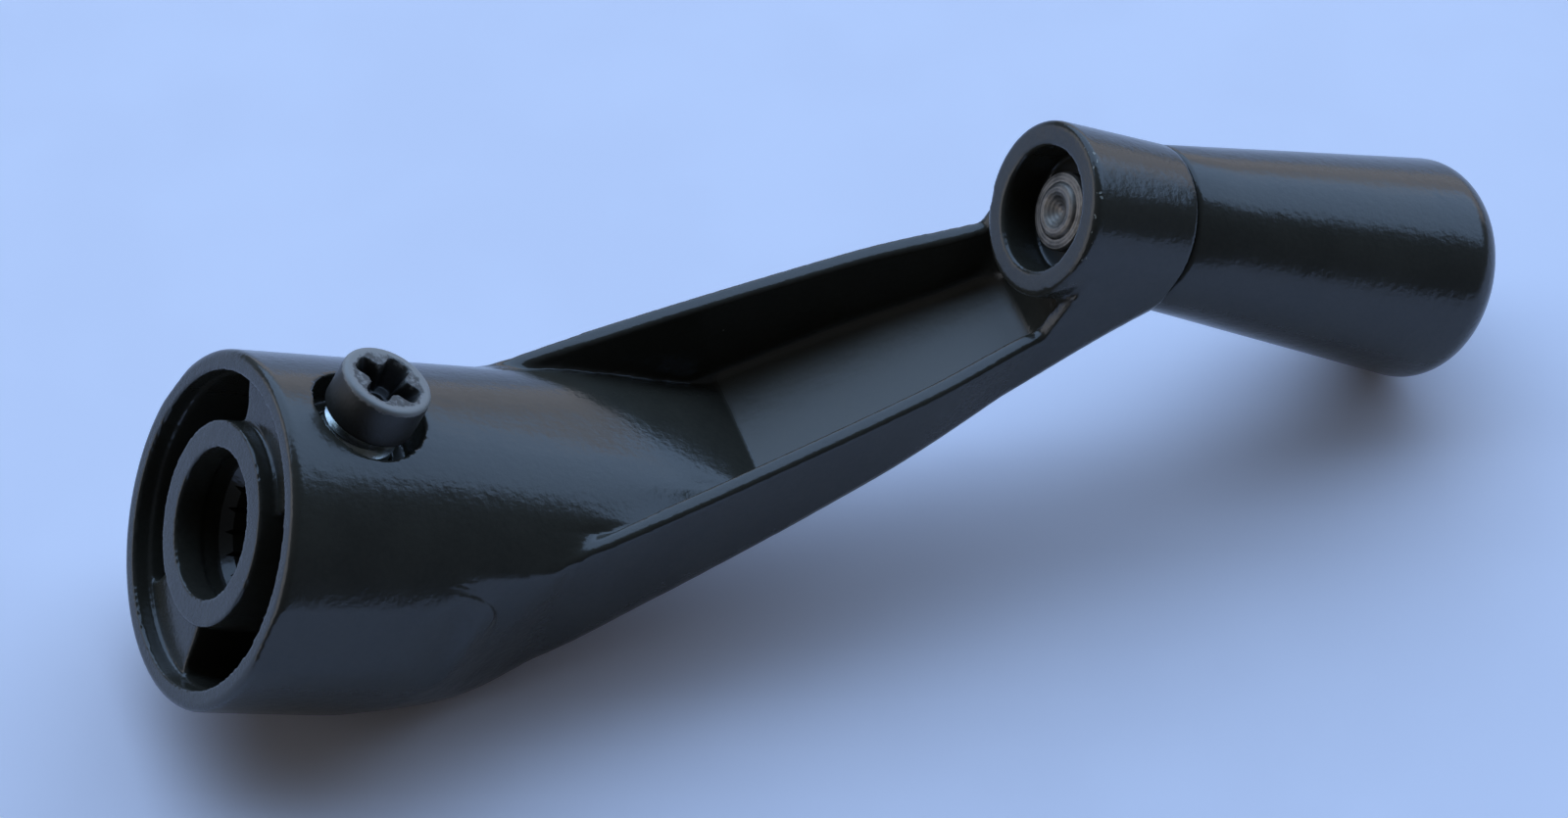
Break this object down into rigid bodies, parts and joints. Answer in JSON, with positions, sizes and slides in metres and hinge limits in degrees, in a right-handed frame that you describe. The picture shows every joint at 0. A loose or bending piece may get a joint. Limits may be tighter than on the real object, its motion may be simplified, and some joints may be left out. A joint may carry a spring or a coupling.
{
  "type": "crank handle",
  "caption": "Enamelled die-cast window crank: serrated hub with a clamp screw, a channelled arm rising to a boss, and a flared knob that spins on a riveted pin.",
  "frame": {"origin": "on the bore's axis in the plane of the hub's mouth", "axes": "+X along the bore from the mouth into the hub and on towards the knob; +Z from the bore to the clamp screw and the knob; the XZ plane is the part's plane of symmetry"},
  "size_m": [0.0837, 0.0244, 0.0583],
  "materials": {
    "arm_enamel": "glossy dark bronze enamel",
    "screw_enamel": "dark bronze enamel over a zinc-plated thread",
    "knob_enamel": "glossy dark bronze enamel",
    "pin_steel": "dull riveted steel"
  },
  "bodies": {
    "arm": {"crank_arm": "arm_enamel"},
    "screw": {"set_screw": "screw_enamel"},
    "knob": {"knob": "knob_enamel", "knob_pin": "pin_steel"}
  },
  "joints": [
    {"name": "knob_spin", "type": "hinge", "parent": "arm", "child": "knob", "pos_m": [0.0562, 0, 0.0375], "axis": [1, 0, 0], "continuous": true},
    {"name": "screw_travel", "type": "slide", "parent": "arm", "child": "screw", "axis": [0, 0, 1], "range_m": [-0.0025, 0.0035]}
  ]
}
